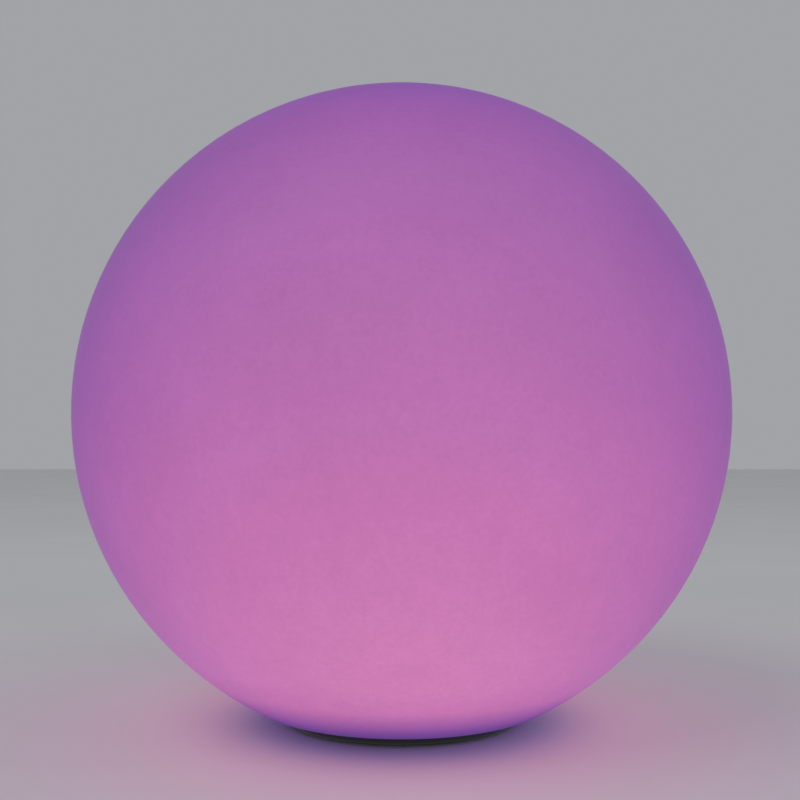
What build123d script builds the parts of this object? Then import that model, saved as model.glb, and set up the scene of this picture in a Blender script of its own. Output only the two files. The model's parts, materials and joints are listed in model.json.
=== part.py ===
"""Floating pool light: a glowing ball that screws onto a sealed, ballasted light base.

The ball is one hollow plastic globe with a flat seat and a threaded neck underneath. The base is
a round can with a flange. It holds the ballast, the battery, the boards and the lamp dome, and on
its underside are a twist grip, a push button, a charging socket and a tether bail.

Millimetres, +Z up. The origin is on the axis, on the surface that the foot ring stands on.
"""

import os
from math import atan2, cos, degrees, hypot, pi, radians, sin, sqrt

from build123d import *

os.makedirs("parts", exist_ok=True)

# ---------------------------------------------------------------- driving dimensions
# Globe
ball_radius = 175.0
belly_extra = 14.0  # the lower part is an arc of this much more radius than the ball
belly_start_angle = 50.0  # where that arc begins, in degrees up from straight down
heel_radius = 24.0  # rounding between the belly and the flat seat
flat_margin = 4.0  # flat of the seat that shows outside the flange
globe_wall = 2.5
neck_height = 16.0

# Battery, which sets the size of the can
cell_radius = 9.2
cell_length = 65.0
cell_gap = 0.4  # between the cells, and from a cell to its rail
tab_thickness = 0.3
end_wall = 1.5
end_gap = 0.5
pack_clearance = 1.85  # from the corner of the cradle to the can's wall
boss_clearance = 1.0  # least gap from the end of the cradle to a clamp boss

# Can, flange and foot
can_wall = 2.5
floor_thickness = 2.5
flange_thickness = 4.1
flange_land = 4.0  # flange outside the neck gasket
flange_edge = 0.8
foot_proud = 1.5
foot_sunk = 1.5
foot_width = 5.0
foot_inset = 3.0
foot_edge = 0.7

# Screw neck: three coarse starts
thread_lead = 24.0
thread_starts = 3
rib_span = 100.0  # degrees that each rib covers
rib_depth = 2.4
rib_root = 3.2
rib_crest = 1.9
rib_sink = 0.4  # how far a rib is buried in its wall
rib_lowest = 12.0  # height of a base rib's start above the standing surface
rib_offset = 2.75  # a globe rib lies this far under the base rib that holds it
thread_gap = 0.6
ring_wall = 3.0
ring_lip = 2.0
gasket_gap = 0.5
gasket_width = 6.0
gasket_recess = 0.8
gasket_play = 0.25  # from the gasket to the sides of its recess
seat_gap = 0.4  # gasket that shows between flange and globe

# Twist grip
grip_depth = 7.5
grip_wall = 4.0
bar_width = 24.0
bar_rise = 0.5  # the bar's face above the flange's underside
bar_plate = 2.5
bar_wall = 2.5
pocket_end = 4.5  # from the grip's wall to the end of the pocket in the bar
bar_edge = 0.8

# Inside stack
ballast_thickness = 4.0
ballast_clearance = 0.8
tray_gap = 0.2
tray_thickness = 1.5
tray_margin = 3.0
rail_wall = 1.5
rail_height = 8.0
end_wall_below = 1.6  # the cradle's end walls stop this far under the cells' axis
strap_thickness = 1.2
strap_width = 14.0
strap_foot = 6.5
board_thickness = 1.6
board_gap = 1.0
standoff_length = 6.4
spreader_thickness = 1.5
post_radius = 3.0
post_spread = 14.0  # half of the spacing along X of the board posts
tray_screw_spread = 26.0
fit_gap = 0.3

# Small screws
m3_radius = 1.5
m3_head_radius = 2.75
m3_head_height = 2.0
m3_length = 14.0
m25_radius = 1.25
m25_head_radius = 2.25
m25_head_height = 1.6
m2_radius = 1.0
m2_head_radius = 1.9
m2_head_height = 1.2
thread_play = 0.05
cross_width = 0.7

# Lamp dome and its clamp
dome_wall = 2.0
dome_rise = 28.0
dome_flange = 2.2
dome_gap = 2.0  # from the lamp board's edge to the dome
dome_gasket_thickness = 0.8
clamp_thickness = 2.0
clamp_count = 6
clamp_inset = 4.5  # screw circle in from the can's outside
clamp_boss_radius = 3.5

# Lamps
lamp_size = 5.0
lamp_height = 1.6
lamp_window_radius = 1.9
lamp_window_height = 0.15
outer_lamp_count = 12
inner_lamp_count = 6
lamp_edge = 9.0  # outer ring of lamps in from the board's edge
inner_ring_radius = 11.0

# Push button
button_radius = 6.0
button_gap = 0.2
button_proud = 0.3
button_lip = 1.5
button_lip_height = 1.0
button_stem_radius = 2.0
button_stem = 2.7
button_dish = 0.4
boot_wall = 0.8
boot_room = 0.5
boot_rim = 0.7
plunger_clear = 0.6
plunger_radius = 1.7
plunger_height = 1.0
switch_size = 6.0
switch_height = 3.5
switch_board_thickness = 1.0
switch_board_width = 16.0
switch_board_front = 13.0  # board past the button towards +X
switch_board_back = 22.0  # board past the button towards -X
switch_post = (10.8, 5.5)
switch_post_radius = 2.0

# Status light
status_x = -18.0
status_radius = 2.0
status_lip = 1.3
status_lip_height = 1.0
status_led_size = 2.0
status_led_height = 1.0

# Charging socket
jack_x = 22.0
jack_radius = 4.0
jack_gap = 0.1
jack_bore_radius = 3.1
jack_pin_radius = 1.05
jack_pin_root = 1.5
jack_pin_sunk = 1.8
jack_depth = 9.5
jack_back = 1.7
jack_flange_radius = 5.6
jack_flange_height = 1.3
jack_seal_height = 0.6
jack_nut_flat = 10.0
jack_nut_height = 2.5
pad_height = 3.5
pad_start = 14.0
pad_end = 37.0

jack_tag = (3.0, 1.6, 0.5)
jack_tag_y = 2.2
jack_tag_sunk = 1.6  # from the socket's back face down to the tags

# Leads and the link between the boards
lead_radius = 0.6
lead_bend = 2.4
lead_start = 1.0  # below the cells' axis, where a battery lead is soldered on
lead_clearance = 2.2  # from the end of the cradle to the thin leads that go up beside it
lead_pair_y = (5.0, 6.8)
plug_x = 26.0  # middle of each socket on the board
plug_length = 7.0
battery_plug_width = 4.0
pair_plug_width = 5.0
plug_height = 5.0
plug_entry = 2.6
link_y = 19.0
link_size = (7.6, 2.5)
link_gap = 0.2

# Port cover
cover_radius = 7.2
cover_thickness = 1.5
cover_gap = 0.3
cover_recess = 2.0
cover_plug_length = 1.6
cover_plug_gap = 0.25
cover_swing_room = 1.0  # extra length of the recess, for the cover to swing out
cover_arm_width = 6.0
cover_barrel_radius = 1.6
cover_pivot_x = 32.0
cover_pivot_rise = 2.4  # pivot above the bar's face
cover_pin_radius = 0.8
cover_pin_reach = 3.0  # the pin runs this far into each side
running_gap = 0.05
slot_reach = 3.5
slot_height = 4.8

# Tether bail
bail_wire_radius = 1.2
bail_half_width = 14.0
bail_reach = 15.5
bail_corner = 5.0
bail_pivot_y = -16.5
bail_pivot_rise = 4.1  # pivot above the flange's underside
bail_tip = 4.5
bail_gap = 0.4
bail_lug_width = 4.0
bail_lug_depth = 8.0
bail_lug_height = 5.8
bail_hole_gap = 0.08

# ---------------------------------------------------------------- places worked out from them
# Heights
flange_bottom = foot_proud
flange_top = flange_bottom + flange_thickness
seat_z = flange_top + seat_gap
grip_ceiling = flange_bottom + grip_depth
floor_top = grip_ceiling + floor_thickness
bar_face = flange_bottom + bar_rise
bar_inside = bar_face + bar_plate
tray_bottom = floor_top + ballast_thickness + tray_gap
tray_top = tray_bottom + tray_thickness
cell_z = tray_top + cell_gap + cell_radius
strap_bottom = cell_z + cell_radius + cell_gap / 4
strap_top = strap_bottom + strap_thickness
control_z = strap_top + board_gap
control_top = control_z + board_thickness
can_top = control_top + standoff_length
lamp_board_z = can_top + spreader_thickness
lamp_board_top = lamp_board_z + board_thickness
dome_z = can_top + dome_gasket_thickness
dome_flange_top = dome_z + dome_flange
clamp_top = dome_flange_top + clamp_thickness

# Battery pack and the can around it
cell_y = cell_radius + cell_gap / 2
rail_inside = cell_y + cell_radius + cell_gap
rail_outside = rail_inside + rail_wall
cradle_end = cell_length / 2 + tab_thickness + end_gap + end_wall
end_wall_height = cell_gap + cell_radius - end_wall_below
boss_reach = clamp_inset + clamp_boss_radius - can_wall  # from the can's wall inwards
can_inside = max(
    hypot(cradle_end, rail_inside) + pack_clearance, cradle_end + boss_reach + boss_clearance
)
can_radius = can_inside + can_wall

# From the can outwards
ring_inside = can_radius + rib_depth + thread_gap
ring_outside = ring_inside + ring_wall
collar_outside = ring_outside + globe_wall
gasket_inside = collar_outside + gasket_gap
gasket_outside = gasket_inside + gasket_width
flange_radius = gasket_outside + flange_land
flat_radius = flange_radius + flat_margin
foot_outside = flange_radius - foot_inset
foot_inside = foot_outside - foot_width
grip_radius = can_radius - grip_wall
pocket_half = grip_radius - pocket_end

# From the can inwards
clamp_circle = can_radius - clamp_inset
post_y = rail_outside + fit_gap + post_radius
board_posts = [(sx * post_spread, sy * post_y) for sx in (-1, 1) for sy in (-1, 1)]
tray_screw_y = rail_outside + fit_gap + m25_head_radius + fit_gap
tray_screws = [(sx * tray_screw_spread, sy * tray_screw_y) for sx in (-1, 1) for sy in (-1, 1)]
strap_leg = rail_outside + fit_gap
strap_screw_y = strap_leg + strap_thickness + fit_gap + m25_head_radius
strap_screws = [(0, -strap_screw_y), (0, strap_screw_y)]
low_posts = tray_screws + strap_screws
lamp_board_radius = hypot(post_spread, post_y) + post_radius
control_radius = lamp_board_radius + 1.0
dome_inside = lamp_board_radius + dome_gap
dome_outside = dome_inside + dome_wall
outer_ring_radius = lamp_board_radius - lamp_edge

# Leads
lead_rise_x = cradle_end + lead_clearance + lead_radius

# Screw thread
lead_per_degree = thread_lead / 360

# Push button chain
button_top = bar_inside + fit_gap / 3 + button_lip_height
boot_inside_z = button_top + button_stem
boot_top = boot_inside_z + boot_wall
plunger_tip = boot_top + plunger_clear
switch_z = plunger_tip + plunger_height
switch_board_z = switch_z + switch_height
boot_inside_radius = button_radius + button_lip + boot_room
switch_posts = [(switch_post[0], switch_post[1]), (-switch_post[0], -switch_post[1])]

# Charging socket chain
cover_ceiling = bar_face + cover_recess
jack_flange_top = cover_ceiling + jack_flange_height
jack_seal_top = jack_flange_top + jack_seal_height
pad_top = bar_inside + pad_height
jack_bore_top = cover_ceiling + jack_depth
jack_top = jack_bore_top + jack_back
cover_pivot_z = bar_face + cover_pivot_rise
cover_bottom = cover_ceiling - fit_gap + 0.1 - cover_thickness
bail_pivot_z = flange_bottom + bail_pivot_rise


# ---------------------------------------------------------------- shared shapes
def globe_outline(inset):
    """Closed half outline of the globe on XZ, moved inwards by inset: ball, belly, heel and flat."""
    start = radians(belly_start_angle)
    belly_radius = ball_radius + belly_extra
    belly_x = -belly_extra * sin(start)
    drop = sqrt((belly_radius - heel_radius) ** 2 - (flat_radius - belly_x) ** 2)
    heel_z = seat_z + heel_radius
    belly_z = heel_z + drop
    ball_z = belly_z - belly_extra * cos(start)
    heel_angle = degrees(atan2(heel_z - belly_z, flat_radius - belly_x))
    ball_angle = belly_start_angle - 90
    with BuildLine() as outline:
        ball = CenterArc((0, ball_z), ball_radius - inset, ball_angle, 90 - ball_angle)
        belly = CenterArc(
            (belly_x, belly_z), belly_radius - inset, heel_angle, ball_angle - heel_angle
        )
        heel = CenterArc((flat_radius, heel_z), heel_radius - inset, -90, heel_angle + 90)
        foot = Line((0, seat_z + inset), heel @ 0)
        Line(ball @ 1, foot @ 0)
    return outline.line


def thread_rib(root_radius, crest_radius, start_z):
    """One helical rib that stands on a wall at root_radius and ends at crest_radius."""
    outward = 1 if crest_radius > root_radius else -1
    middle = (root_radius + crest_radius) / 2
    half = abs(crest_radius - root_radius) / 2
    with BuildPart() as rib:
        with BuildLine():
            path = Helix(
                thread_lead, lead_per_degree * rib_span, middle, center=(0, 0, start_z)
            )
        with BuildSketch(Plane(path @ 0, x_dir=(outward, 0, 0), z_dir=path % 0)):
            Polygon(
                (-half - rib_sink, -rib_root / 2),
                (half, -rib_crest / 2),
                (half, rib_crest / 2),
                (-half - rib_sink, rib_root / 2),
                align=None,
            )
        sweep(path=path, is_frenet=True)
    return rib.part


def cross_head_screws(places, seat, length, shank_radius, head_radius, head_height):
    """Pan-head screws with their heads on the height seat, one at each of the places."""
    with BuildPart() as screws:
        with BuildSketch(Plane.XY.offset(seat - length)):
            with Locations(*places):
                Circle(shank_radius)
        extrude(amount=length)
        with BuildSketch(Plane.XY.offset(seat)):
            with Locations(*places):
                Circle(head_radius)
        extrude(amount=head_height)
        fillet(screws.edges().group_by(Axis.Z)[-1], head_height * 0.45)
        with BuildSketch(Plane.XY.offset(seat + head_height)):
            with Locations(*places):
                Rectangle(head_radius * 1.3, cross_width)
                Rectangle(cross_width, head_radius * 1.3)
        extrude(amount=-head_height / 2, mode=Mode.SUBTRACT)
    return screws.part


def dome_outline(foot_radius, rise):
    """Closed half outline on XZ of a round cap that stands on the dome's flange."""
    cap_radius = (foot_radius**2 + rise**2) / (2 * rise)
    foot_angle = degrees(atan2(cap_radius - rise, foot_radius))
    with BuildLine() as outline:
        cap = CenterArc(
            (0, dome_flange_top + rise - cap_radius), cap_radius, foot_angle, 90 - foot_angle
        )
        foot = Line((0, dome_flange_top), cap @ 0)
        Line(cap @ 1, foot @ 0)
    return outline.line


def flat_ring(bottom, height, inside, outside):
    """A plain ring with a square section."""
    with BuildPart() as ring:
        with BuildSketch(Plane.XY.offset(bottom)):
            Circle(outside)
            Circle(inside, mode=Mode.SUBTRACT)
        extrude(amount=height)
    return ring.part


made = {}


def keep(name, part):
    """Labels a finished piece and keeps it to be written."""
    part.label = name
    made[name] = part


# ---------------------------------------------------------------- globe
with BuildPart() as globe_shell:
    with BuildSketch(Plane.XZ):
        add(globe_outline(0))
        make_face()
    revolve(axis=Axis.Z)
    with BuildSketch(Plane.XZ):
        add(globe_outline(globe_wall))
        make_face()
    revolve(axis=Axis.Z, mode=Mode.SUBTRACT)
    with BuildSketch(Plane.XY.offset(seat_z)):
        Circle(collar_outside)
    extrude(amount=neck_height)
    with BuildSketch(Plane.XY.offset(seat_z)):
        Circle(ring_outside)
    extrude(amount=neck_height, mode=Mode.SUBTRACT)
    with BuildSketch(Plane.XY.offset(seat_z)):
        Circle(gasket_outside)
        Circle(gasket_inside, mode=Mode.SUBTRACT)
    extrude(amount=gasket_recess, mode=Mode.SUBTRACT)
keep("globe_shell", globe_shell.part)

globe_rib = thread_rib(ring_inside, can_radius + thread_gap, rib_lowest - rib_offset)
with BuildPart() as neck_ring:
    with BuildSketch(Plane.XY.offset(seat_z)):
        Circle(ring_outside)
        Circle(ring_inside, mode=Mode.SUBTRACT)
    extrude(amount=neck_height)
    with BuildSketch(Plane.XY.offset(seat_z + neck_height)):
        Circle(collar_outside)
        Circle(ring_inside, mode=Mode.SUBTRACT)
    extrude(amount=ring_lip)
    chamfer(neck_ring.edges().group_by(Axis.Z)[-1].sort_by(SortBy.LENGTH)[-1], ring_lip / 3)
    with PolarLocations(0, thread_starts):
        add(globe_rib)
keep("neck_ring", neck_ring.part)

keep(
    "neck_gasket",
    flat_ring(
        flange_top,
        seat_gap + gasket_recess,
        gasket_inside + gasket_play,
        gasket_outside - gasket_play,
    ),
)

# ---------------------------------------------------------------- base housing
base_rib = thread_rib(can_radius, can_radius + rib_depth, rib_lowest)
with BuildPart() as base_housing:
    # Flange and can
    with BuildSketch(Plane.XY.offset(flange_bottom)):
        Circle(flange_radius)
    extrude(amount=flange_thickness)
    fillet(base_housing.edges().group_by(Axis.Z)[0], flange_edge)
    fillet(base_housing.edges().group_by(Axis.Z)[-1], flange_edge)
    with BuildSketch(Plane.XY.offset(flange_top)):
        Circle(can_radius)
    extrude(amount=can_top - flange_top)
    with BuildSketch(Plane.XY.offset(floor_top)):
        Circle(can_inside)
    extrude(amount=can_top - floor_top, mode=Mode.SUBTRACT)
    # Grip recess with the bar across it
    with BuildSketch(Plane.XY.offset(flange_bottom)):
        Circle(grip_radius)
    extrude(amount=grip_depth, mode=Mode.SUBTRACT)
    with BuildSketch(Plane.XY.offset(bar_face)):
        Circle(grip_radius + 0.5)
        Rectangle(2 * can_radius, bar_width, mode=Mode.INTERSECT)
    extrude(amount=grip_ceiling - bar_face)
    bar_long_edges = (
        base_housing.edges()
        .filter_by(Axis.X)
        .filter_by_position(Axis.Z, bar_face - 0.01, bar_face + 0.01)
    )
    fillet(bar_long_edges, bar_edge)
    with BuildSketch(Plane.XY.offset(bar_inside)):
        RectangleRounded(2 * pocket_half, bar_width - 2 * bar_wall, bar_wall)
    extrude(amount=floor_top - bar_inside, mode=Mode.SUBTRACT)
    # Pad that carries the socket and the cover's hinge
    with BuildSketch(Plane.XY.offset(bar_inside)):
        with Locations(((pad_start + pad_end) / 2, 0)):
            Rectangle(pad_end - pad_start, bar_width - 2 * bar_wall)
    extrude(amount=pad_height)
    # Foot groove
    with BuildSketch(Plane.XY.offset(flange_bottom)):
        Circle(foot_outside)
        Circle(foot_inside, mode=Mode.SUBTRACT)
    extrude(amount=foot_sunk, mode=Mode.SUBTRACT)
    # Bosses and posts
    with BuildSketch(Plane.XY.offset(floor_top)):
        with PolarLocations(clamp_circle, clamp_count):
            Circle(clamp_boss_radius)
    extrude(amount=can_top - floor_top)
    with BuildSketch(Plane.XY.offset(floor_top)):
        with Locations(*board_posts):
            Circle(post_radius)
    extrude(amount=control_z - floor_top)
    with BuildSketch(Plane.XY.offset(floor_top)):
        with Locations(*low_posts):
            Circle(post_radius)
    extrude(amount=tray_bottom - floor_top)
    with BuildSketch(Plane.XY.offset(bar_inside)):
        with Locations(*switch_posts):
            Circle(switch_post_radius)
    extrude(amount=switch_board_z - bar_inside)
    # Screw holes
    with BuildSketch(Plane.XY.offset(can_top)):
        with PolarLocations(clamp_circle, clamp_count):
            Circle(m3_radius + thread_play)
    extrude(amount=-m3_length, mode=Mode.SUBTRACT)
    with BuildSketch(Plane.XY.offset(control_z)):
        with Locations(*board_posts):
            Circle(m25_radius + thread_play)
    extrude(amount=-(standoff_length + board_thickness), mode=Mode.SUBTRACT)
    with BuildSketch(Plane.XY.offset(tray_bottom)):
        with Locations(*low_posts):
            Circle(m25_radius + thread_play)
    extrude(amount=-ballast_thickness, mode=Mode.SUBTRACT)
    with BuildSketch(Plane.XY.offset(switch_board_z)):
        with Locations(*switch_posts):
            Circle(m2_radius + thread_play)
    extrude(amount=-switch_height, mode=Mode.SUBTRACT)
    # Button hole, status light hole, socket seat and cover recess
    with BuildSketch(Plane.XY.offset(bar_face)):
        Circle(button_radius + button_gap)
        with Locations((status_x, 0)):
            Circle(status_radius + thread_play)
    extrude(amount=bar_plate, mode=Mode.SUBTRACT)
    with BuildSketch(Plane.XY.offset(bar_face)):
        with Locations((jack_x + cover_swing_room / 2, 0)):
            SlotCenterToCenter(cover_swing_room, 2 * (cover_radius + cover_gap))
        with Locations(((jack_x + cover_pivot_x) / 2, 0)):
            Rectangle(cover_pivot_x - jack_x, cover_arm_width + 2 * cover_gap)
    extrude(amount=cover_recess, mode=Mode.SUBTRACT)
    with BuildSketch(Plane.XY.offset(bar_face)):
        with Locations((cover_pivot_x, 0)):
            Rectangle(2 * slot_reach, cover_arm_width + 2 * cover_gap)
    extrude(amount=slot_height, mode=Mode.SUBTRACT)
    with BuildSketch(Plane.XY.offset(cover_ceiling)):
        with Locations((jack_x, 0)):
            Circle(jack_flange_radius + jack_gap)
    extrude(amount=jack_seal_top - cover_ceiling, mode=Mode.SUBTRACT)
    with BuildSketch(Plane.XY.offset(jack_seal_top)):
        with Locations((jack_x, 0)):
            Circle(jack_radius + jack_gap)
    extrude(amount=pad_top - jack_seal_top, mode=Mode.SUBTRACT)
    with BuildSketch(Plane.XZ):
        with Locations((cover_pivot_x, cover_pivot_z)):
            Circle(cover_pin_radius)
    extrude(
        amount=cover_arm_width / 2 + cover_gap + cover_pin_reach, both=True, mode=Mode.SUBTRACT
    )
    # Bail lugs with their pivot holes
    with BuildSketch(Plane.XY.offset(grip_ceiling)):
        lug_x = bail_half_width + bail_wire_radius + bail_gap + bail_lug_width / 2
        with Locations((-lug_x, -bar_width / 2), (lug_x, -bar_width / 2)):
            Rectangle(bail_lug_width, bail_lug_depth, align=(Align.CENTER, Align.MAX))
    extrude(amount=-bail_lug_height)
    with BuildSketch(Plane.YZ):
        with Locations((bail_pivot_y, bail_pivot_z)):
            Circle(bail_wire_radius + bail_hole_gap)
    extrude(amount=lug_x + bail_lug_width, both=True, mode=Mode.SUBTRACT)
    with PolarLocations(0, thread_starts):
        add(base_rib)
keep("base_housing", base_housing.part)

with BuildPart() as foot_ring:
    with BuildSketch():
        Circle(foot_outside)
        Circle(foot_inside, mode=Mode.SUBTRACT)
    extrude(amount=foot_proud + foot_sunk)
    fillet(foot_ring.edges().group_by(Axis.Z)[0], foot_edge)
keep("foot_ring", foot_ring.part)

# ---------------------------------------------------------------- ballast and battery
with BuildPart() as ballast_weights:
    with BuildSketch(Plane.XY.offset(floor_top)):
        Circle(can_inside - ballast_clearance)
        Rectangle(2 * can_radius, bar_width - bar_wall + fit_gap, mode=Mode.SUBTRACT)
        with Locations(*board_posts, *low_posts):
            Circle(post_radius + fit_gap, mode=Mode.SUBTRACT)
        with PolarLocations(clamp_circle, clamp_count):
            Circle(clamp_boss_radius + fit_gap, mode=Mode.SUBTRACT)
    extrude(amount=ballast_thickness)
keep("ballast_weights", ballast_weights.part)

tray_half_width = strap_screw_y + tray_margin
tray_radius = can_inside - clamp_boss_radius
with BuildPart() as battery_cradle:
    with BuildSketch(Plane.XY.offset(tray_bottom)):
        Circle(tray_radius)
        Rectangle(2 * cradle_end, 2 * tray_half_width, mode=Mode.INTERSECT)
        with Locations(*board_posts):
            Circle(post_radius + fit_gap, mode=Mode.SUBTRACT)
        with Locations(*low_posts):
            Circle(m25_radius + fit_gap, mode=Mode.SUBTRACT)
        RectangleRounded(2 * switch_board_front + 4, 2 * cell_radius, 2, mode=Mode.SUBTRACT)
    extrude(amount=tray_thickness)
    rail_y = (rail_inside + rail_outside) / 2
    with BuildSketch(Plane.XY.offset(tray_top)):
        with Locations((0, -rail_y), (0, rail_y)):
            Rectangle(cell_length, rail_wall)
    extrude(amount=rail_height)
    with BuildSketch(Plane.XY.offset(tray_top)):
        with Locations((-cradle_end + end_wall / 2, 0), (cradle_end - end_wall / 2, 0)):
            Rectangle(end_wall, 2 * rail_inside)
    extrude(amount=end_wall_height)
keep("battery_cradle", battery_cradle.part)

with BuildPart() as battery_cells:
    with BuildSketch(Plane.YZ.offset(-cell_length / 2)):
        with Locations((-cell_y, cell_z), (cell_y, cell_z)):
            Circle(cell_radius)
    extrude(amount=cell_length)
    fillet(battery_cells.edges().filter_by(GeomType.CIRCLE), 0.6)
keep("battery_cells", battery_cells.part)

with BuildPart() as cell_tabs:
    with BuildSketch(Plane.YZ.offset(cell_length / 2)):
        with Locations((0, cell_z)):
            Rectangle(2 * cell_y + 7, 7)
    extrude(amount=tab_thickness)
    with BuildSketch(Plane.YZ.offset(-cell_length / 2)):
        with Locations((0, cell_z)):
            Rectangle(2 * cell_y + 7, 7)
    extrude(amount=-tab_thickness)
keep("cell_tabs", cell_tabs.part)

with BuildPart() as battery_strap:
    with BuildSketch(Plane.XY.offset(strap_bottom)):
        Rectangle(strap_width, 2 * (strap_leg + strap_thickness))
    extrude(amount=strap_thickness)
    leg_y = strap_leg + strap_thickness / 2
    with BuildSketch(Plane.XY.offset(tray_top)):
        with Locations((0, -leg_y), (0, leg_y)):
            Rectangle(strap_width, strap_thickness)
    extrude(amount=strap_bottom - tray_top)
    foot_y = strap_leg + strap_foot / 2
    with BuildSketch(Plane.XY.offset(tray_top)):
        with Locations((0, -foot_y), (0, foot_y)):
            Rectangle(strap_width, strap_foot)
        with Locations(*strap_screws):
            Circle(m25_radius + fit_gap, mode=Mode.SUBTRACT)
    extrude(amount=strap_thickness)
keep("battery_strap", battery_strap.part)

tray_screw_length = tray_thickness + tray_gap + ballast_thickness * 0.8
keep(
    "tray_screws",
    cross_head_screws(
        tray_screws, tray_top, tray_screw_length, m25_radius, m25_head_radius, m25_head_height
    ),
)
keep(
    "strap_screws",
    cross_head_screws(
        strap_screws,
        tray_top + strap_thickness,
        tray_screw_length + strap_thickness,
        m25_radius,
        m25_head_radius,
        m25_head_height,
    ),
)

# ---------------------------------------------------------------- control board
with BuildPart() as control_board:
    with BuildSketch(Plane.XY.offset(control_z)):
        Circle(control_radius)
        with Locations(*board_posts):
            Circle(m25_radius + fit_gap / 3, mode=Mode.SUBTRACT)
    extrude(amount=board_thickness)
keep("control_board", control_board.part)

with BuildPart() as control_chips:
    with BuildSketch(Plane.XY.offset(control_top)):
        Rectangle(9, 9)
        with Locations((-16, 8)):
            Rectangle(5, 6)
        with Locations((16, 8)):
            Rectangle(5, 4)
        with Locations((-15, -8)):
            Rectangle(4, 4)
    extrude(amount=1.4)
keep("control_chips", control_chips.part)

with BuildPart() as board_capacitors:
    with BuildSketch(Plane.XY.offset(control_top)):
        with Locations((15, -9), (22, -9)):
            Circle(2.5)
    extrude(amount=5.2)
    fillet(board_capacitors.edges().group_by(Axis.Z)[-1], 0.4)
keep("board_capacitors", board_capacitors.part)

with BuildPart() as charge_coil:
    with BuildSketch(Plane.XY.offset(control_top)):
        with Locations((-12, -1)):
            RectangleRounded(6, 7, 1)
    extrude(amount=4)
keep("charge_coil", charge_coil.part)

with BuildPart() as board_sockets:
    with BuildSketch(Plane.XY.offset(control_top)):
        with Locations((-plug_x, 0), (plug_x, 0)):
            Rectangle(plug_length, battery_plug_width)
        pair_plug_y = sum(lead_pair_y) / 2
        with Locations((-plug_x, pair_plug_y), (plug_x, pair_plug_y)):
            Rectangle(plug_length, pair_plug_width)
    extrude(amount=plug_height)
    chamfer(board_sockets.edges().group_by(Axis.Z)[-1], 0.3)
keep("board_sockets", board_sockets.part)

with BuildPart() as board_link:
    with BuildSketch(Plane.XY.offset(control_top)):
        with Locations((0, link_y)):
            Rectangle(*link_size)
    extrude(amount=lamp_board_z - control_top)
keep("board_link", board_link.part)

with BuildPart() as board_standoffs:
    with BuildSketch(Plane.XY.offset(control_top)):
        with Locations(*board_posts):
            RegularPolygon(m25_head_radius + 0.4, 6)
    extrude(amount=standoff_length)
    with BuildSketch(Plane.XY.offset(control_top)):
        with Locations(*board_posts):
            Circle(m25_radius)
    extrude(amount=-(board_thickness + standoff_length * 0.9))
    with BuildSketch(Plane.XY.offset(can_top)):
        with Locations(*board_posts):
            Circle(m25_radius + thread_play)
    extrude(amount=-standoff_length * 0.75, mode=Mode.SUBTRACT)
keep("board_standoffs", board_standoffs.part)

# ---------------------------------------------------------------- lamp board and dome
with BuildPart() as heat_spreader:
    with BuildSketch(Plane.XY.offset(can_top)):
        Circle(lamp_board_radius)
        with Locations(*board_posts):
            Circle(m25_radius + fit_gap / 3, mode=Mode.SUBTRACT)
        with Locations((0, link_y)):
            Rectangle(link_size[0] + 2 * link_gap, link_size[1] + 2 * link_gap, mode=Mode.SUBTRACT)
    extrude(amount=spreader_thickness)
keep("heat_spreader", heat_spreader.part)

with BuildPart() as lamp_board:
    with BuildSketch(Plane.XY.offset(lamp_board_z)):
        Circle(lamp_board_radius - 0.5)
        with Locations(*board_posts):
            Circle(m25_radius + fit_gap / 3, mode=Mode.SUBTRACT)
    extrude(amount=board_thickness)
keep("lamp_board", lamp_board.part)

with BuildPart() as lamp_chips:
    with BuildSketch(Plane.XY.offset(lamp_board_top)):
        with PolarLocations(outer_ring_radius, outer_lamp_count):
            Rectangle(lamp_size, lamp_size)
        with PolarLocations(inner_ring_radius, inner_lamp_count):
            Rectangle(lamp_size, lamp_size)
    extrude(amount=lamp_height)
    chamfer(lamp_chips.edges().group_by(Axis.Z)[-1], lamp_height / 8)
keep("lamp_chips", lamp_chips.part)

with BuildPart() as lamp_windows:
    with BuildSketch(Plane.XY.offset(lamp_board_top + lamp_height)):
        with PolarLocations(outer_ring_radius, outer_lamp_count):
            Circle(lamp_window_radius)
        with PolarLocations(inner_ring_radius, inner_lamp_count):
            Circle(lamp_window_radius)
    extrude(amount=lamp_window_height)
keep("lamp_windows", lamp_windows.part)

with BuildPart() as remote_receiver:
    with BuildSketch(Plane.XY.offset(lamp_board_top)):
        RectangleRounded(5.2, 5.2, 0.5)
    extrude(amount=3)
    with Locations((0, 0, lamp_board_top + 3)):
        Sphere(2.2, arc_size1=0)
keep("remote_receiver", remote_receiver.part)

keep(
    "lamp_board_screws",
    cross_head_screws(
        board_posts,
        lamp_board_top,
        board_thickness + spreader_thickness + standoff_length * 0.6,
        m25_radius,
        m25_head_radius,
        m25_head_height,
    ),
)

with BuildPart() as lamp_dome:
    with BuildSketch(Plane.XY.offset(dome_z)):
        Circle(can_radius)
    extrude(amount=dome_flange)
    with BuildSketch(Plane.XZ):
        add(dome_outline(dome_outside, dome_rise))
        make_face()
    revolve(axis=Axis.Z)
    with BuildSketch(Plane.XZ):
        add(dome_outline(dome_inside, dome_rise - dome_wall))
        make_face()
    revolve(axis=Axis.Z, mode=Mode.SUBTRACT)
    with BuildSketch(Plane.XY.offset(dome_z)):
        Circle(dome_inside)
    extrude(amount=dome_flange, mode=Mode.SUBTRACT)
    with BuildSketch(Plane.XY.offset(dome_z)):
        with PolarLocations(clamp_circle, clamp_count):
            Circle(m3_radius + fit_gap)
    extrude(amount=dome_flange, mode=Mode.SUBTRACT)
keep("lamp_dome", lamp_dome.part)

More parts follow.
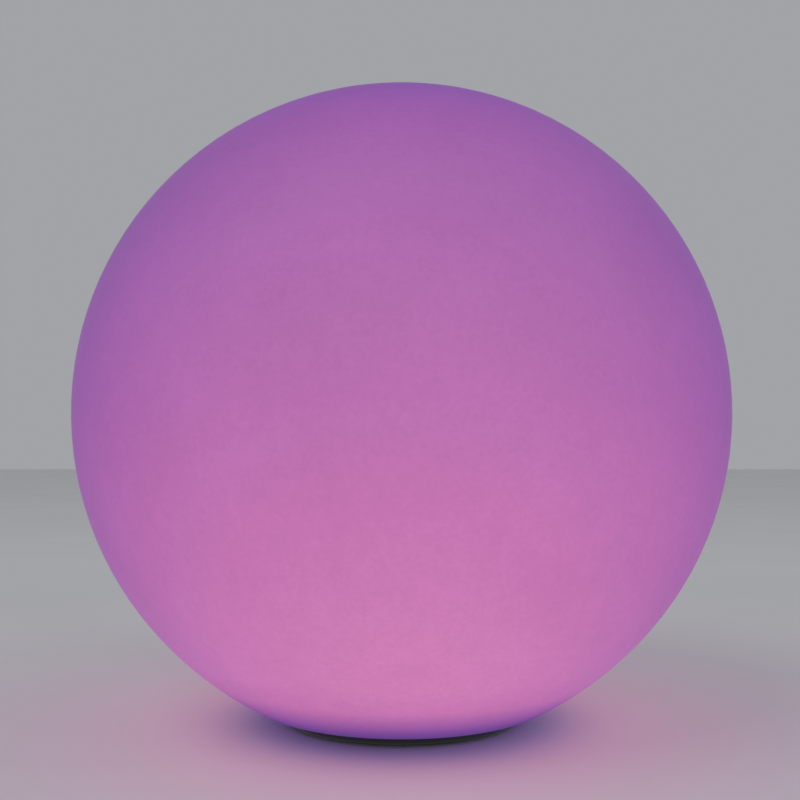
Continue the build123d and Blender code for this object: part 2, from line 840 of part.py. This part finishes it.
with BuildPart() as dome_gasket:
    with BuildSketch(Plane.XY.offset(can_top)):
        Circle(can_radius)
        Circle(dome_outside + fit_gap, mode=Mode.SUBTRACT)
        with PolarLocations(clamp_circle, clamp_count):
            Circle(m3_radius + fit_gap, mode=Mode.SUBTRACT)
    extrude(amount=dome_gasket_thickness)
keep("dome_gasket", dome_gasket.part)

with BuildPart() as dome_clamp_ring:
    with BuildSketch(Plane.XY.offset(dome_flange_top)):
        Circle(can_radius)
        Circle(dome_outside + fit_gap, mode=Mode.SUBTRACT)
        with PolarLocations(clamp_circle, clamp_count):
            Circle(m3_radius + fit_gap, mode=Mode.SUBTRACT)
    extrude(amount=clamp_thickness)
    chamfer(dome_clamp_ring.edges().group_by(Axis.Z)[-1].sort_by(SortBy.LENGTH)[-1], 0.6)
keep("dome_clamp_ring", dome_clamp_ring.part)

clamp_angles = [i * 2 * pi / clamp_count for i in range(clamp_count)]
clamp_places = [(clamp_circle * cos(a), clamp_circle * sin(a)) for a in clamp_angles]
keep(
    "clamp_screws",
    cross_head_screws(
        clamp_places, clamp_top, m3_length, m3_radius, m3_head_radius, m3_head_height
    ),
)

# ---------------------------------------------------------------- push button
with BuildPart() as power_button:
    with BuildSketch(Plane.XY.offset(bar_face - button_proud)):
        Circle(button_radius)
    extrude(amount=button_top - button_lip_height - bar_face + button_proud)
    fillet(power_button.edges().group_by(Axis.Z)[0], 0.4)
    with BuildSketch(Plane.XY.offset(button_top - button_lip_height)):
        Circle(button_radius + button_lip)
    extrude(amount=button_lip_height)
    with BuildSketch(Plane.XY.offset(button_top)):
        Circle(button_stem_radius)
    extrude(amount=button_stem)
    # Raised power symbol: an open ring and a stroke, cut round by a shallow dish
    with BuildSketch(Plane.XY.offset(bar_face - button_proud)):
        Circle(button_radius * 0.78)
        Circle(button_radius * 0.5, mode=Mode.SUBTRACT)
        with Locations((0, button_radius * 0.64)):
            Rectangle(button_radius * 0.55, button_radius * 0.4, mode=Mode.SUBTRACT)
    extrude(amount=button_dish, mode=Mode.SUBTRACT)
keep("power_button", power_button.part)

with BuildPart() as button_boot:
    with BuildSketch(Plane.XY.offset(bar_inside)):
        Circle(boot_inside_radius + boot_wall + boot_rim - fit_gap)
    extrude(amount=boot_wall)
    with BuildSketch(Plane.XY.offset(bar_inside)):
        Circle(boot_inside_radius + boot_wall - fit_gap)
    extrude(amount=boot_top - bar_inside)
    with BuildSketch(Plane.XY.offset(bar_inside)):
        Circle(boot_inside_radius - fit_gap)
    extrude(amount=boot_inside_z - bar_inside, mode=Mode.SUBTRACT)
keep("button_boot", button_boot.part)

with BuildPart() as push_switch:
    with BuildSketch(Plane.XY.offset(plunger_tip)):
        Circle(plunger_radius)
    extrude(amount=plunger_height)
    with BuildSketch(Plane.XY.offset(switch_z)):
        Rectangle(switch_size, switch_size)
    extrude(amount=switch_height)
keep("push_switch", push_switch.part)

with BuildPart() as switch_board:
    with BuildSketch(Plane.XY.offset(switch_board_z)):
        with Locations(((switch_board_front - switch_board_back) / 2, 0)):
            Rectangle(switch_board_front + switch_board_back, switch_board_width)
        with Locations(*switch_posts):
            Circle(m2_radius + thread_play, mode=Mode.SUBTRACT)
    extrude(amount=switch_board_thickness)
keep("switch_board", switch_board.part)

keep(
    "switch_board_screws",
    cross_head_screws(
        switch_posts,
        switch_board_z + switch_board_thickness,
        switch_board_thickness + switch_height * 0.8,
        m2_radius,
        m2_head_radius,
        m2_head_height,
    ),
)

with BuildPart() as status_lamp:
    with BuildSketch(Plane.XY.offset(switch_board_z)):
        with Locations((status_x, 0)):
            Rectangle(status_led_size, status_led_size)
    extrude(amount=-status_led_height)
keep("status_lamp", status_lamp.part)

with BuildPart() as status_light_pipe:
    with BuildSketch(Plane.XY.offset(bar_face)):
        with Locations((status_x, 0)):
            Circle(status_radius)
    extrude(amount=switch_board_z - status_led_height - fit_gap - bar_face)
    with BuildSketch(Plane.XY.offset(bar_inside)):
        with Locations((status_x, 0)):
            Circle(status_radius + status_lip)
    extrude(amount=status_lip_height)
    fillet(status_light_pipe.edges().group_by(Axis.Z)[0], 0.4)
keep("status_light_pipe", status_light_pipe.part)

# ---------------------------------------------------------------- charging socket
with BuildPart() as charge_socket:
    with BuildSketch(Plane.XY.offset(cover_ceiling)):
        with Locations((jack_x, 0)):
            Circle(jack_flange_radius)
    extrude(amount=jack_flange_height)
    with BuildSketch(Plane.XY.offset(cover_ceiling)):
        with Locations((jack_x, 0)):
            Circle(jack_radius)
    extrude(amount=jack_top - cover_ceiling)
    with BuildSketch(Plane.XY.offset(cover_ceiling)):
        with Locations((jack_x, 0)):
            Circle(jack_bore_radius)
    extrude(amount=jack_depth, mode=Mode.SUBTRACT)
    with BuildSketch(Plane.XY.offset(jack_bore_top)):
        with Locations((jack_x, 0)):
            Circle(jack_pin_root)
    extrude(amount=jack_back, mode=Mode.SUBTRACT)
keep("charge_socket", charge_socket.part)

with BuildPart() as charge_pin:
    with BuildSketch(Plane.XY.offset(cover_ceiling + jack_pin_sunk)):
        with Locations((jack_x, 0)):
            Circle(jack_pin_radius)
    extrude(amount=jack_depth - jack_pin_sunk)
    with BuildSketch(Plane.XY.offset(jack_bore_top)):
        with Locations((jack_x, 0)):
            Circle(jack_pin_root)
    extrude(amount=jack_back)
keep("charge_pin", charge_pin.part)

tag_x = jack_x + jack_radius + jack_tag[0] / 2
with BuildPart() as socket_tags:
    with BuildSketch(Plane.XY.offset(jack_top - jack_tag_sunk)):
        with Locations((tag_x, -jack_tag_y), (tag_x, jack_tag_y)):
            Rectangle(jack_tag[0], jack_tag[1])
    extrude(amount=jack_tag[2])
keep("socket_tags", socket_tags.part)

with BuildPart() as socket_seal:
    with BuildSketch(Plane.XY.offset(jack_flange_top)):
        with Locations((jack_x, 0)):
            Circle(jack_flange_radius)
            Circle(jack_radius, mode=Mode.SUBTRACT)
    extrude(amount=jack_seal_height)
keep("socket_seal", socket_seal.part)

with BuildPart() as socket_nut:
    with BuildSketch(Plane.XY.offset(pad_top)):
        with Locations((jack_x, 0)):
            RegularPolygon(jack_nut_flat / 2, 6, major_radius=False)
            Circle(jack_radius, mode=Mode.SUBTRACT)
    extrude(amount=jack_nut_height)
keep("socket_nut", socket_nut.part)

# ---------------------------------------------------------------- leads
def round_lead(points):
    """A round lead along straight runs, with one size of bend at every corner."""
    with BuildPart() as lead:
        with BuildLine():
            path = FilletPolyline(*points, radius=lead_bend)
        with BuildSketch(Plane(path @ 0, z_dir=path % 0)):
            Circle(lead_radius)
        sweep(path=path)
    return lead.part


battery_lead_x = cell_length / 2 + tab_thickness + lead_radius
entry_z = control_top + plug_entry
for side, name in ((1, "battery_lead_plus"), (-1, "battery_lead_minus")):
    keep(
        name,
        round_lead(
            [
                (side * battery_lead_x, 0, cell_z - lead_start),
                (side * battery_lead_x, 0, entry_z),
                (side * (plug_x + plug_length / 2), 0, entry_z),
            ]
        ),
    )

tag_lead_z = jack_top - jack_tag_sunk + jack_tag[2] + lead_radius
tag_end_x = tag_x + jack_tag[0]
with BuildPart() as socket_leads:
    for lead_y, tag_y in zip(lead_pair_y, (-jack_tag_y, jack_tag_y)):
        add(
            round_lead(
                [
                    (tag_x, tag_y, tag_lead_z),
                    (tag_end_x, tag_y, tag_lead_z),
                    (lead_rise_x, lead_y, tag_lead_z),
                    (lead_rise_x, lead_y, entry_z),
                    (plug_x + plug_length / 2, lead_y, entry_z),
                ]
            )
        )
keep("socket_leads", socket_leads.part)

switch_lead_z = switch_board_z + switch_board_thickness / 2
with BuildPart() as switch_leads:
    for lead_y in lead_pair_y:
        add(
            round_lead(
                [
                    (-switch_board_back, lead_y, switch_lead_z),
                    (-lead_rise_x, lead_y, switch_lead_z),
                    (-lead_rise_x, lead_y, entry_z),
                    (-plug_x - plug_length / 2, lead_y, entry_z),
                ]
            )
        )
keep("switch_leads", switch_leads.part)

# ---------------------------------------------------------------- port cover
with BuildPart() as port_cover:
    with BuildSketch(Plane.XY.offset(cover_bottom)):
        with Locations((jack_x, 0)):
            Circle(cover_radius)
        with Locations(((jack_x + cover_pivot_x) / 2, 0)):
            Rectangle(cover_pivot_x - jack_x, cover_arm_width)
    extrude(amount=cover_thickness)
    with BuildSketch(Plane.XY.offset(cover_bottom + cover_thickness)):
        with Locations((jack_x, 0)):
            Circle(jack_bore_radius - cover_plug_gap)
    extrude(amount=cover_plug_length)
    with BuildSketch(Plane.XZ):
        with Locations((cover_pivot_x, cover_pivot_z)):
            Circle(cover_barrel_radius)
    extrude(amount=cover_arm_width / 2, both=True)
    with BuildSketch(Plane.XZ):
        with Locations((cover_pivot_x, cover_pivot_z)):
            Circle(cover_pin_radius + running_gap)
    extrude(amount=cover_arm_width, both=True, mode=Mode.SUBTRACT)
keep("port_cover", port_cover.part)

with BuildPart() as port_cover_pin:
    with BuildSketch(Plane.XZ):
        with Locations((cover_pivot_x, cover_pivot_z)):
            Circle(cover_pin_radius)
    extrude(amount=cover_arm_width / 2 + cover_gap + cover_pin_reach, both=True)
keep("port_cover_pin", port_cover_pin.part)

# ---------------------------------------------------------------- tether bail
tip_x = bail_half_width + bail_tip
bail_far_y = bail_pivot_y - bail_reach
with BuildPart() as tether_bail:
    with BuildLine():
        bail_path = FilletPolyline(
            (-tip_x, bail_pivot_y, bail_pivot_z),
            (-bail_half_width, bail_pivot_y, bail_pivot_z),
            (-bail_half_width, bail_far_y, bail_pivot_z),
            (bail_half_width, bail_far_y, bail_pivot_z),
            (bail_half_width, bail_pivot_y, bail_pivot_z),
            (tip_x, bail_pivot_y, bail_pivot_z),
            radius=[bail_wire_radius * 1.1, bail_corner, bail_corner, bail_wire_radius * 1.1],
        )
    with BuildSketch(Plane(bail_path @ 0, z_dir=bail_path % 0)):
        Circle(bail_wire_radius)
    sweep(path=bail_path)
keep("tether_bail", tether_bail.part)

for name, part in made.items():
    export_step(part, f"parts/{name}.step")
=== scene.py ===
"""Looks of the floating pool light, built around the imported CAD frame. Metres, +Z up."""

import json
import math

import bmesh
import bpy
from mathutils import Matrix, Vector


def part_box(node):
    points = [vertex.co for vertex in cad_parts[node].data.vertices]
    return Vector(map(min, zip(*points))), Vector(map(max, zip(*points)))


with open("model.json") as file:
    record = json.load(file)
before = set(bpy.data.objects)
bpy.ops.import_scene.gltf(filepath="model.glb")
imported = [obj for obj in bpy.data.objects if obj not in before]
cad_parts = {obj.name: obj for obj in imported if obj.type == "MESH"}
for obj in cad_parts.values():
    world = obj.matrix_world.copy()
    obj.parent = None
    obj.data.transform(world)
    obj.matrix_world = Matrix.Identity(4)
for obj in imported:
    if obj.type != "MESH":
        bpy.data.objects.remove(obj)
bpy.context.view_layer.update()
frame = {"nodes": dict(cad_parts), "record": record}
nodes = frame["nodes"]

# ------------------------------------------------------------------ places read from the frame
globe_low, globe_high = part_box("globe_shell")
BALL_R = (globe_high.x - globe_low.x) / 2
BALL_Z = globe_high.z - BALL_R
SEAT_Z = globe_low.z

# ------------------------------------------------------------------ studio
STAGE_HALF = 8.0
STAGE_DROP = 0.0001  # just under the foot ring, so that the two faces never coincide
CLEAR_REACH = 0.012  # the floor lets light up to what lies less than this over it
WORLD_COLOUR = (0.80, 0.82, 0.86, 1)
WORLD_STRENGTH = 0.45
LIGHT_SIZE = 2.4
KEY_POWER = 14.0
FILL_POWER = 7.0

SENSOR_WIDTH = 36.0
LENS = 49.9
CAMERA_DISTANCE = 3.5 * BALL_R
CAMERA_TILT = math.radians(-2.0)  # the camera stands a little lower than the ball's centre
AIM_SHIFT = (-0.00083, 0, 0.0065)  # puts the ball where the frame has it


# ------------------------------------------------------------------ node helpers
class Graph:
    """A small helper that adds nodes to one material and links them by name."""

    def __init__(self, name):
        self.mat = bpy.data.materials.new(name)
        self.mat.use_nodes = True
        self.tree = self.mat.node_tree
        self.shader = self.tree.nodes["Principled BSDF"]
        self.coords = self.tree.nodes.new("ShaderNodeTexCoord").outputs["Object"]

    def node(self, kind, **values):
        made = self.tree.nodes.new(kind)
        for key, value in values.items():
            setattr(made, key, value)
        return made

    def link(self, source, target):
        self.tree.links.new(source, target)

    def set(self, **values):
        for key, value in values.items():
            self.shader.inputs[key.replace("_", " ")].default_value = value

    def stretched(self, scale):
        mapping = self.node("ShaderNodeMapping")
        mapping.inputs["Scale"].default_value = scale
        self.link(self.coords, mapping.inputs["Vector"])
        return mapping.outputs["Vector"]

    def noise(self, scale, detail=3.0, rough=0.55, vector=None):
        made = self.node("ShaderNodeTexNoise")
        made.inputs["Scale"].default_value = scale
        made.inputs["Detail"].default_value = detail
        made.inputs["Roughness"].default_value = rough
        self.link(vector or self.coords, made.inputs["Vector"])
        return made.outputs["Fac"]

    def ranged(self, value, low, high, from_low=0.25, from_high=0.75):
        made = self.node("ShaderNodeMapRange")
        made.inputs["From Min"].default_value = from_low
        made.inputs["From Max"].default_value = from_high
        made.inputs["To Min"].default_value = low
        made.inputs["To Max"].default_value = high
        self.link(value, made.inputs["Value"])
        return made.outputs["Result"]

    def math(self, operation, a, b):
        made = self.node("ShaderNodeMath", operation=operation)
        for socket, value in zip(made.inputs, (a, b)):
            if isinstance(value, (int, float)):
                socket.default_value = value
            else:
                self.link(value, socket)
        return made.outputs["Value"]

    def ramp(self, value, stops, interpolation="LINEAR"):
        made = self.node("ShaderNodeValToRGB")
        ramp = made.color_ramp
        ramp.interpolation = interpolation
        while len(ramp.elements) < len(stops):
            ramp.elements.new(0.5)
        for element, (place, colour) in zip(ramp.elements, stops):
            element.position = place
            element.color = (*colour, 1.0)
        self.link(value, made.inputs["Fac"])
        return made.outputs["Color"]

    def scaled(self, colour, factor):
        """The colour times a grey factor."""
        made = self.node("ShaderNodeMix", data_type="RGBA", blend_type="MULTIPLY")
        made.inputs["Factor"].default_value = 1.0
        self.link(colour, made.inputs["A"])
        self.link(factor, made.inputs["B"])
        return made.outputs["Result"]

    def bump(self, height, strength, distance, after=None):
        made = self.node("ShaderNodeBump")
        made.inputs["Strength"].default_value = strength
        made.inputs["Distance"].default_value = distance
        self.link(height, made.inputs["Height"])
        if after:
            self.link(after, made.inputs["Normal"])
        return made.outputs["Normal"]


def shade(colour, factor):
    return tuple(min(1.0, c * factor) for c in colour)


BLOTCH_SHARE = 0.6  # of the tone; the rest is fine grain
BLOTCH_SCALE = 0.04  # of the grain's own scale
GLOSS_SPREAD = 0.18


def plain(name, colour, rough, metal=0.0, grain=900.0, vary=0.12, bump=0.12, brushed=None,
          depth=0.0001, **more):
    """Moulded, rolled or turned stuff: blotches and fine grain in colour, gloss and height."""
    g = Graph(name)
    where = g.stretched(brushed) if brushed else g.coords
    blotch = g.noise(grain * BLOTCH_SCALE, 4.0)
    fine = g.noise(grain, 3.0, vector=where)
    both = g.math("MULTIPLY_ADD", blotch, BLOTCH_SHARE)
    g.link(g.math("MULTIPLY", fine, 1 - BLOTCH_SHARE), both.node.inputs[2])
    tone = g.ramp(
        both,
        [(0.3, shade(colour, 1 - vary)), (0.5, colour), (0.7, shade(colour, 1 + vary))],
    )
    g.link(tone, g.shader.inputs["Base Color"])
    dullest = min(1.0, rough * (1 + GLOSS_SPREAD))
    g.link(g.ranged(both, rough * (1 - GLOSS_SPREAD), dullest, 0.3, 0.7),
           g.shader.inputs["Roughness"])
    g.link(g.bump(fine, bump, depth), g.shader.inputs["Normal"])
    g.set(Metallic=metal, **more)
    return g.mat


def dress(node, material):
    """Gives a CAD node its material."""
    mesh = nodes[node].data
    mesh.materials.clear()
    mesh.materials.append(material)


# ------------------------------------------------------------------ materials
# Painted light that leaves the wall at each height, as linear colour, from the seat to the
# crown. It stands in for the lamp inside: brightest low on the ball, with painted shade at the
# seat where the base keeps the light off.
PAINTED_GLOW = [
    (0.000, (0.110, 0.035, 0.160)),
    (0.012, (0.245, 0.087, 0.243)),
    (0.030, (0.510, 0.160, 0.310)),
    (0.060, (0.884, 0.285, 0.370)),
    (0.100, (0.894, 0.302, 0.388)),
    (0.160, (0.801, 0.262, 0.370)),
    (0.250, (0.690, 0.210, 0.345)),
    (0.360, (0.612, 0.179, 0.332)),
    (0.480, (0.529, 0.153, 0.319)),
    (0.600, (0.477, 0.140, 0.303)),
    (0.720, (0.446, 0.132, 0.294)),
    (0.820, (0.455, 0.134, 0.292)),
    (0.900, (0.455, 0.118, 0.297)),
    (0.960, (0.385, 0.090, 0.303)),
    (1.000, (0.320, 0.060, 0.310)),
]


def globe_material():
    """Polyethylene with painted light from inside, as emission by height. The coat's tint makes
    the rim darker.
    """
    g = Graph("globe_skin")
    height = g.node("ShaderNodeSeparateXYZ")
    g.link(g.coords, height.inputs["Vector"])
    share = g.ranged(height.outputs["Z"], 0.0, 1.0, SEAT_Z, globe_high.z)
    # Painted light and shade by height, from the table above.
    painted_glow = g.ramp(share, PAINTED_GLOW)
    cloud = g.noise(16.0, 3.0, 0.5)
    fleck = g.noise(110.0, 2.0, 0.5)
    speck = g.noise(420.0, 2.0, 0.6)
    mottle = g.math("MULTIPLY", g.ranged(cloud, 0.97, 1.03), g.ranged(speck, 0.95, 1.05))
    mottle = g.math("MULTIPLY", mottle, g.ranged(fleck, 0.975, 1.025))
    g.link(g.scaled(painted_glow, mottle), g.shader.inputs["Emission Color"])
    # Base colour: a dim lilac that goes with the painted glow, in place of the wall's own milky
    # white.
    base = g.ramp(cloud, [(0.3, (0.245, 0.150, 0.245)), (0.7, (0.265, 0.165, 0.265))])
    g.link(base, g.shader.inputs["Base Color"])
    peel = g.noise(260.0, 3.0, 0.5)
    wave = g.noise(14.0, 1.0, 0.4)
    g.link(g.ranged(peel, 0.44, 0.56), g.shader.inputs["Roughness"])
    waves = g.bump(wave, 0.25, 0.0012)
    g.link(g.bump(peel, 0.16, 0.00008, waves), g.shader.inputs["Normal"])
    g.set(
        Emission_Strength=1.15,
        Specular_IOR_Level=0.1,
        Coat_Weight=1.0,
        Coat_Roughness=0.42,
        Coat_IOR=1.1,
        Coat_Tint=(0.68, 0.655, 0.888, 1.0),
    )
    return g.mat


def dome_material():
    """Frosted dome over the lamps, with painted glow by height and painted shade at its clamped
    foot.
    """
    g = Graph("dome_frost")
    cloud = g.noise(60.0, 3.0)
    fine = g.noise(1400.0, 2.0)
    height = g.node("ShaderNodeSeparateXYZ")
    g.link(g.coords, height.inputs["Vector"])
    low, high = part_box("lamp_dome")
    share = g.ranged(height.outputs["Z"], 0.0, 1.0, low.z, high.z)
    # Painted light by height: dark at the clamped foot as painted shade, brightest on the upper
    # dome.
    painted_glow = g.ramp(share, [
        (0.00, (0.10, 0.03, 0.12)),
        (0.07, (0.30, 0.10, 0.30)),
        (0.25, (1.10, 0.50, 1.00)),
        (0.60, (1.30, 0.72, 1.20)),
        (1.00, (1.15, 0.60, 1.08)),
    ])
    g.link(g.scaled(painted_glow, g.ranged(cloud, 0.96, 1.04)), g.shader.inputs["Emission Color"])
    g.link(g.ramp(cloud, [(0.3, (0.76, 0.72, 0.78)), (0.7, (0.82, 0.79, 0.83))]),
           g.shader.inputs["Base Color"])
    g.link(g.ranged(fine, 0.5, 0.62), g.shader.inputs["Roughness"])
    g.link(g.bump(fine, 0.2, 0.00005), g.shader.inputs["Normal"])
    g.set(Emission_Strength=0.72, Coat_Weight=0.6, Coat_Roughness=0.5, Coat_IOR=1.3,
          Coat_Tint=(0.75, 0.70, 0.85, 1.0))
    return g.mat


def lamp_material():
    """Lit faces of the lamps, with a fine phosphor grain."""
    g = Graph("lamp_light")
    cell = g.noise(2600.0, 2.0)
    g.link(g.ramp(cell, [(0.3, (1.0, 0.55, 0.92)), (0.7, (1.0, 0.70, 0.98))]),
           g.shader.inputs["Emission Color"])
    g.link(g.ramp(cell, [(0.3, (0.9, 0.75, 0.5)), (0.7, (0.95, 0.85, 0.6))]),
           g.shader.inputs["Base Color"])
    g.set(Emission_Strength=4.0, Roughness=0.3)
    return g.mat


def board_material(name, mask, copper):
    """Solder mask with fine tracks of a lighter tone under it."""
    g = Graph(name)
    tracks = g.node("ShaderNodeTexBrick")
    tracks.offset = 0.37
    for key, value in {"Scale": 330.0, "Mortar Size": 0.09, "Brick Width": 2.2,
                       "Row Height": 0.7, "Bias": -0.2}.items():
        tracks.inputs[key].default_value = value
    tracks.inputs["Color1"].default_value = (*mask, 1)
    tracks.inputs["Color2"].default_value = (*shade(mask, 0.85), 1)
    tracks.inputs["Mortar"].default_value = (*copper, 1)
    g.link(g.coords, tracks.inputs["Vector"])
    fine = g.noise(800.0)
    g.link(g.scaled(tracks.outputs["Color"], g.ranged(fine, 0.92, 1.08)),
           g.shader.inputs["Base Color"])
    g.link(g.ranged(fine, 0.3, 0.45), g.shader.inputs["Roughness"])
    g.link(g.bump(tracks.outputs["Fac"], 0.15, 0.00004), g.shader.inputs["Normal"])
    return g.mat


def wrap_material():
    """Shrink wrap: one dull blue, with the silver can showing as a band at each end."""
    g = Graph("cell_wrap")
    along = g.node("ShaderNodeSeparateXYZ")
    g.link(g.coords, along.inputs["Vector"])
    low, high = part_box("battery_cells")
    share = g.ranged(along.outputs["X"], 0.0, 1.0, low.x, high.x)
    can = (0.62, 0.62, 0.64)
    blue = (0.03, 0.10, 0.36)
    g.link(g.ramp(share, [(0.0, can), (0.012, blue), (0.5, shade(blue, 1.1)), (0.988, blue),
                          (0.99, can)], "CONSTANT"), g.shader.inputs["Base Color"])
    fine = g.noise(500.0)
    g.link(g.ranged(fine, 0.25, 0.4), g.shader.inputs["Roughness"])
    g.link(g.bump(fine, 0.1, 0.00005), g.shader.inputs["Normal"])
    return g.mat


MATERIALS = {
    "globe_skin": globe_material(),
    "dome_frost": dome_material(),
    "lamp_light": lamp_material(),
    "cell_wrap": wrap_material(),
    "board_green": board_material("board_green", (0.012, 0.10, 0.04), (0.03, 0.20, 0.08)),
    "board_white": board_material("board_white", (0.74, 0.74, 0.70), (0.60, 0.60, 0.56)),
    "neck_white": plain("neck_white", (0.70, 0.68, 0.72), 0.42, grain=700),
    "silicone": plain("silicone", (0.50, 0.49, 0.51), 0.6, grain=1200, bump=0.08),
    "housing_black": plain("housing_black", (0.018, 0.017, 0.021), 0.46, grain=1500, bump=0.35,
                           depth=0.00006),
    "foot_rubber": plain("foot_rubber", (0.012, 0.012, 0.013), 0.72, grain=1100, bump=0.3),
    "ballast_steel": plain("ballast_steel", (0.42, 0.43, 0.45), 0.42, 0.9, grain=600),
    "cradle_grey": plain("cradle_grey", (0.06, 0.06, 0.07), 0.55, grain=900),
    "plated_steel": plain("plated_steel", (0.60, 0.60, 0.60), 0.3, 1.0, brushed=(1, 12, 1)),
    "screw_steel": plain("screw_steel", (0.55, 0.55, 0.57), 0.32, 1.0, grain=1600),
    "chip_black": plain("chip_black", (0.015, 0.015, 0.016), 0.5, grain=2500, bump=0.2),
    "capacitor_can": plain("capacitor_can", (0.62, 0.62, 0.64), 0.28, 1.0, grain=1500),
    "coil_ferrite": plain("coil_ferrite", (0.05, 0.05, 0.055), 0.6, grain=2500, bump=0.4),
    "socket_white": plain("socket_white", (0.70, 0.67, 0.58), 0.45, grain=1200),
    "brass": plain("brass", (0.70, 0.48, 0.18), 0.28, 1.0, grain=1400, brushed=(1, 1, 14)),
    "spreader_aluminium": plain("spreader_aluminium", (0.68, 0.69, 0.71), 0.34, 1.0,
                                brushed=(1, 16, 1)),
    "lamp_body": plain("lamp_body", (0.80, 0.78, 0.70), 0.35, grain=2200, vary=0.05),
    "receiver_tint": plain("receiver_tint", (0.02, 0.008, 0.02), 0.12, grain=2000, bump=0.03),
    "clamp_white": plain("clamp_white", (0.62, 0.61, 0.64), 0.4, grain=900),
    "stainless": plain("stainless", (0.62, 0.62, 0.63), 0.24, 1.0, grain=1300,
                       brushed=(12, 1, 1), vary=0.08),
    "button_grey": plain("button_grey", (0.085, 0.085, 0.092), 0.58, grain=1800, bump=0.25),
    "light_pipe": plain("light_pipe", (0.75, 0.80, 0.80), 0.15, grain=1600, vary=0.04,
                        bump=0.05, Transmission_Weight=0.6),
    "socket_black": plain("socket_black", (0.02, 0.02, 0.02), 0.42, grain=1800, bump=0.2),
    "contact_metal": plain("contact_metal", (0.78, 0.66, 0.36), 0.22, 1.0, grain=1500),
    "lead_red": plain("lead_red", (0.42, 0.010, 0.008), 0.38, grain=900, vary=0.06),
    "lead_black": plain("lead_black", (0.015, 0.015, 0.015), 0.38, grain=900),
    "lead_white": plain("lead_white", (0.62, 0.62, 0.60), 0.4, grain=900, vary=0.05),
    "cover_rubber": plain("cover_rubber", (0.022, 0.022, 0.024), 0.66, grain=1600, bump=0.35),
}

for part in frame["record"]["subparts"]:
    dress(part["node"], MATERIALS[part["material_slot"]])

# ------------------------------------------------------------------ floor
floor_mesh = bpy.data.meshes.new("floor")
plane = bmesh.new()
bmesh.ops.create_grid(plane, x_segments=1, y_segments=1, size=STAGE_HALF)
plane.to_mesh(floor_mesh)
plane.free()
floor = bpy.data.objects.new("floor", floor_mesh)
floor.location.z = -STAGE_DROP
bpy.context.scene.collection.objects.link(floor)


def floor_material():
    """Pale and matt. It is clear from underneath, and lets light up to what is close over it."""
    g = Graph("floor_pale")
    soft = g.noise(3.0, 2.0)
    g.link(g.ramp(soft, [(0.3, (0.78, 0.78, 0.79)), (0.7, (0.82, 0.82, 0.83))]),
           g.shader.inputs["Base Color"])
    g.set(Roughness=0.6, Specular_IOR_Level=0.3)
    path = g.node("ShaderNodeLightPath").outputs
    near = g.math("LESS_THAN", path["Ray Length"], CLEAR_REACH)
    bounced = g.math("SUBTRACT", 1.0, path["Is Camera Ray"])
    back = g.node("ShaderNodeNewGeometry").outputs["Backfacing"]
    back = g.math("MAXIMUM", back, g.math("MULTIPLY", near, bounced))
    clear = g.node("ShaderNodeBsdfTransparent").outputs["BSDF"]
    mix = g.node("ShaderNodeMixShader")
    g.link(back, mix.inputs[0])
    g.link(g.shader.outputs["BSDF"], mix.inputs[1])
    g.link(clear, mix.inputs[2])
    g.link(mix.outputs["Shader"], g.tree.nodes["Material Output"].inputs["Surface"])
    return g.mat


floor_mesh.materials.append(floor_material())

# ------------------------------------------------------------------ light
world = bpy.data.worlds.new("studio")
bpy.context.scene.world = world
world.use_nodes = True
background = world.node_tree.nodes["Background"].inputs
background["Color"].default_value = WORLD_COLOUR
background["Strength"].default_value = WORLD_STRENGTH


def area_light(name, place, power, colour):
    """A round soft light that faces the ball's centre."""
    data = bpy.data.lights.new(name, "AREA")
    data.shape = "DISK"
    data.size = LIGHT_SIZE
    data.energy = power
    data.color = colour
    made = bpy.data.objects.new(name, data)
    bpy.context.scene.collection.objects.link(made)
    made.location = place
    towards = Vector((0, 0, BALL_Z)) - made.location
    made.rotation_mode = "QUATERNION"
    made.rotation_quaternion = towards.to_track_quat("-Z", "Y")


area_light("key", (-1.6, -1.4, 2.6), KEY_POWER, (1.0, 0.98, 0.96))
area_light("fill", (2.0, -1.0, 1.8), FILL_POWER, (0.95, 0.97, 1.0))

# ------------------------------------------------------------------ camera
camera_data = bpy.data.cameras.new("camera")
camera = bpy.data.objects.new("camera", camera_data)
bpy.context.scene.collection.objects.link(camera)
bpy.context.scene.camera = camera
camera_data.sensor_width = SENSOR_WIDTH
camera_data.lens = LENS
camera_data.clip_start = 0.01
camera_data.clip_end = 50.0
centre = Vector((0, 0, BALL_Z))
away = Vector((0, -math.cos(CAMERA_TILT), math.sin(CAMERA_TILT)))
camera.location = centre + away * CAMERA_DISTANCE
aim = centre + Vector(AIM_SHIFT)
camera.rotation_mode = "QUATERNION"
camera.rotation_quaternion = (aim - camera.location).to_track_quat("-Z", "Y")

view = bpy.context.scene.view_settings
view.view_transform = "Standard"
view.look = "None"
view.exposure = 0.0
view.gamma = 1.0
